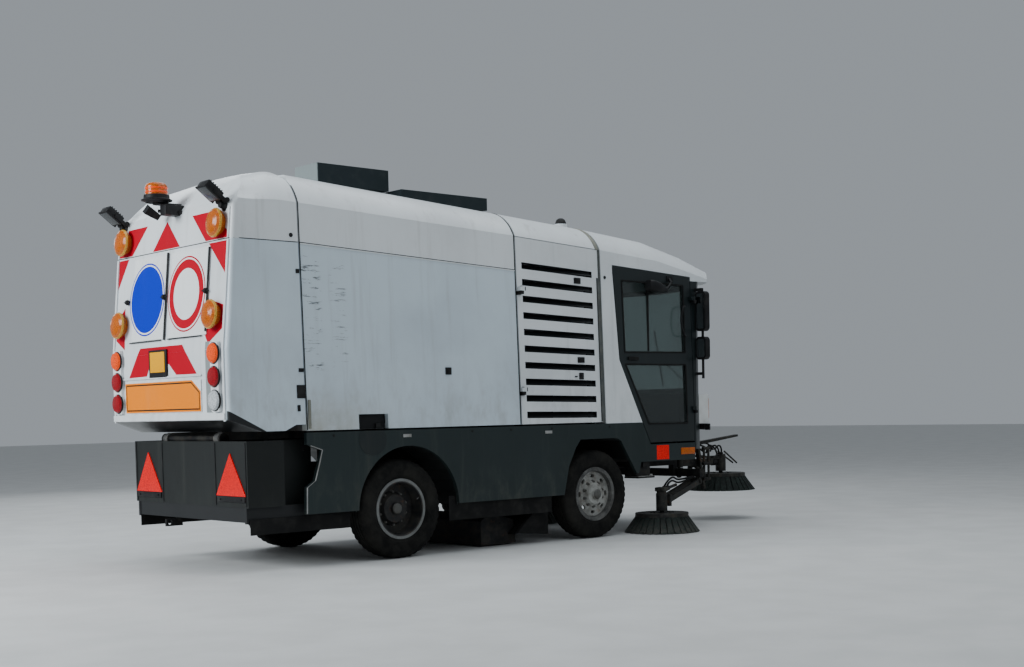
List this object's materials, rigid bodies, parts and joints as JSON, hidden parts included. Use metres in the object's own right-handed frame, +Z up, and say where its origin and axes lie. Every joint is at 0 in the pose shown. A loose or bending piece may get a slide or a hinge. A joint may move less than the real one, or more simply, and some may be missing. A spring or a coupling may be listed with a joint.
{
  "type": "street sweeper truck",
  "caption": "Compact road sweeper: steered front wheels, glazed cab, louvred engine doors, tipping hopper with lifting tailgate, suction mouth and spinning brushes.",
  "frame": {"origin": "on the ground, midway along the overall length, on the centre plane", "axes": "+X forward, +Y to the left side, +Z up"},
  "size_m": [6.921, 2.74, 3.34],
  "materials": {
    "white_paint": "satin",
    "dark_green_paint": "satin",
    "charcoal_paint": "matte",
    "chassis_black": "matte",
    "rim_white": "satin",
    "tyre_rubber": "matte",
    "black_plastic": "matte",
    "grey_plastic": "satin",
    "white_plastic": "gloss",
    "seat_fabric": "matte",
    "window_glass": "gloss",
    "amber_lens": "gloss",
    "cast_black": "matte",
    "seal_rubber": "matte",
    "bristle": "matte"
  },
  "bodies": {
    "chassis": {"chassis_frame": "chassis_black", "engine_bay_hoops": "chassis_black", "engine_block": "cast_black", "front_axle": "cast_black", "rear_axle": "cast_black", "skirt_right": "dark_green_paint", "skirt_left": "dark_green_paint", "rear_lower_panel": "chassis_black", "cab_back": "white_paint", "cab_front": "dark_green_paint", "cab_roof": "white_paint", "cab_floor": "chassis_black", "windscreen": "window_glass", "seats": "seat_fabric", "dashboard": "black_plastic", "front_bumper": "black_plastic", "headlamps": "white_plastic", "mirrors": "black_plastic", "cab_steps": "chassis_black", "cab_seal": "seal_rubber", "engine_roof": "white_paint"},
    "hopper": {"hopper_roof": "white_paint", "hopper_side_right": "white_paint", "hopper_side_left": "white_paint", "hopper_tub": "charcoal_paint", "roof_boxes": "grey_plastic"},
    "tailgate": {"tailgate_cap": "white_paint", "tailgate_corners": "white_paint", "tailgate_face": "white_paint", "blank_boards": "white_paint", "tail_lamps": "white_paint", "amber_flashers": "amber_lens", "roof_lamps": "black_plastic", "beacon": "amber_lens"},
    "cab_door_right": {"door_right": "dark_green_paint", "door_glass_right": "window_glass"},
    "cab_door_left": {"door_left": "dark_green_paint", "door_glass_left": "window_glass"},
    "engine_hatch_right": {"engine_door_right": "white_paint"},
    "engine_hatch_left": {"engine_door_left": "white_paint"},
    "steering_right": {"knuckle_right": "cast_black"},
    "steering_left": {"knuckle_left": "cast_black"},
    "front_wheel_right": {"wheel_front_right": "rim_white", "tyre_front_right": "tyre_rubber"},
    "front_wheel_left": {"wheel_front_left": "rim_white", "tyre_front_left": "tyre_rubber"},
    "rear_wheel_right": {"wheel_rear_right": "rim_white", "tyre_rear_right": "tyre_rubber"},
    "rear_wheel_left": {"wheel_rear_left": "rim_white", "tyre_rear_left": "tyre_rubber"},
    "bracket_right": {"brush_bracket_right": "chassis_black"},
    "bracket_left": {"brush_bracket_left": "chassis_black"},
    "arm_right": {"brush_arm_right": "chassis_black"},
    "arm_left": {"brush_arm_left": "chassis_black"},
    "brush_right": {"side_brush_right": "bristle"},
    "brush_left": {"side_brush_left": "bristle"},
    "boom": {"front_boom": "chassis_black"},
    "tilt_arm": {"front_arm": "chassis_black"},
    "brush_front": {"front_brush": "bristle"},
    "mouth": {"suction_mouth": "chassis_black"}
  },
  "joints": [
    {"name": "rear_spin_right", "type": "hinge", "parent": "chassis", "child": "rear_wheel_right", "pos_m": [-1.727, -0.838, 0.419], "axis": [0, 1, 0], "continuous": true},
    {"name": "rear_spin_left", "type": "hinge", "parent": "chassis", "child": "rear_wheel_left", "pos_m": [-1.727, 0.838, 0.419], "axis": [0, 1, 0], "continuous": true},
    {"name": "steer_right", "type": "hinge", "parent": "chassis", "child": "steering_right", "pos_m": [0.573, -0.66, 0.419], "axis": [0, 0, 1], "range_deg": [-32, 32]},
    {"name": "steer_left", "type": "hinge", "parent": "chassis", "child": "steering_left", "pos_m": [0.573, 0.66, 0.419], "axis": [0, 0, 1], "range_deg": [-32, 32]},
    {"name": "front_spin_right", "type": "hinge", "parent": "steering_right", "child": "front_wheel_right", "pos_m": [0.573, -0.838, 0.419], "axis": [0, 1, 0], "continuous": true},
    {"name": "front_spin_left", "type": "hinge", "parent": "steering_left", "child": "front_wheel_left", "pos_m": [0.573, 0.838, 0.419], "axis": [0, 1, 0], "continuous": true},
    {"name": "door_right_hinge", "type": "hinge", "parent": "chassis", "child": "cab_door_right", "pos_m": [1.9415, -1.017, 1.2], "axis": [0, 0, 1], "range_deg": [0, 75]},
    {"name": "door_left_hinge", "type": "hinge", "parent": "chassis", "child": "cab_door_left", "pos_m": [1.9415, 1.017, 1.2], "axis": [0, 0, -1], "range_deg": [0, 75]},
    {"name": "engine_door_right_hinge", "type": "hinge", "parent": "chassis", "child": "engine_hatch_right", "pos_m": [-0.386, -1.017, 1.4], "axis": [0, 0, -1], "range_deg": [0, 100]},
    {"name": "engine_door_left_hinge", "type": "hinge", "parent": "chassis", "child": "engine_hatch_left", "pos_m": [-0.386, 1.017, 1.4], "axis": [0, 0, 1], "range_deg": [0, 100]},
    {"name": "hopper_tip", "type": "hinge", "parent": "chassis", "child": "hopper", "pos_m": [-3.127, 0, 1.05], "axis": [0, -1, 0], "range_deg": [0, 50]},
    {"name": "tailgate_lift", "type": "hinge", "parent": "hopper", "child": "tailgate", "pos_m": [-2.684, 0, 3.15], "axis": [0, 1, 0], "range_deg": [0, 80]},
    {"name": "mouth_lift", "type": "hinge", "parent": "chassis", "child": "mouth", "pos_m": [-0.007, 0, 0.24], "axis": [0, 1, 0], "range_deg": [0, 8]},
    {"name": "slew_right", "type": "hinge", "parent": "chassis", "child": "bracket_right", "pos_m": [2.283, -0.72, 0.54], "axis": [0, 0, 1], "range_deg": [-2, 20]},
    {"name": "slew_left", "type": "hinge", "parent": "chassis", "child": "bracket_left", "pos_m": [2.283, 0.72, 0.54], "axis": [0, 0, -1], "range_deg": [-2, 20]},
    {"name": "lift_right", "type": "hinge", "parent": "bracket_right", "child": "arm_right", "pos_m": [2.2241, -0.7394, 0.455], "axis": [-0.3129, 0.9498, 0], "range_deg": [0, 8]},
    {"name": "lift_left", "type": "hinge", "parent": "bracket_left", "child": "arm_left", "pos_m": [2.2241, 0.7394, 0.455], "axis": [0.3129, 0.9498, 0], "range_deg": [0, 8]},
    {"name": "brush_spin_right", "type": "hinge", "parent": "arm_right", "child": "brush_right", "pos_m": [1.433, -1, 0.25], "axis": [0, 0, 1], "continuous": true},
    {"name": "brush_spin_left", "type": "hinge", "parent": "arm_left", "child": "brush_left", "pos_m": [1.433, 1, 0.25], "axis": [0, 0, -1], "continuous": true},
    {"name": "boom_slew", "type": "hinge", "parent": "chassis", "child": "boom", "pos_m": [2.383, -0.38, 0.54], "axis": [0, 0, 1], "range_deg": [-12, 12]},
    {"name": "front_tilt", "type": "hinge", "parent": "boom", "child": "tilt_arm", "pos_m": [2.943, -0.38, 0.62], "axis": [1, 0, 0], "range_deg": [-18, 12]},
    {"name": "front_brush_spin", "type": "hinge", "parent": "tilt_arm", "child": "brush_front", "pos_m": [3.063, -0.38, 0.56], "axis": [0, 0, 1], "continuous": true}
  ],
  "couplings": [
    {"joint": "steer_left", "follows": "steer_right", "ratio": 1}
  ]
}
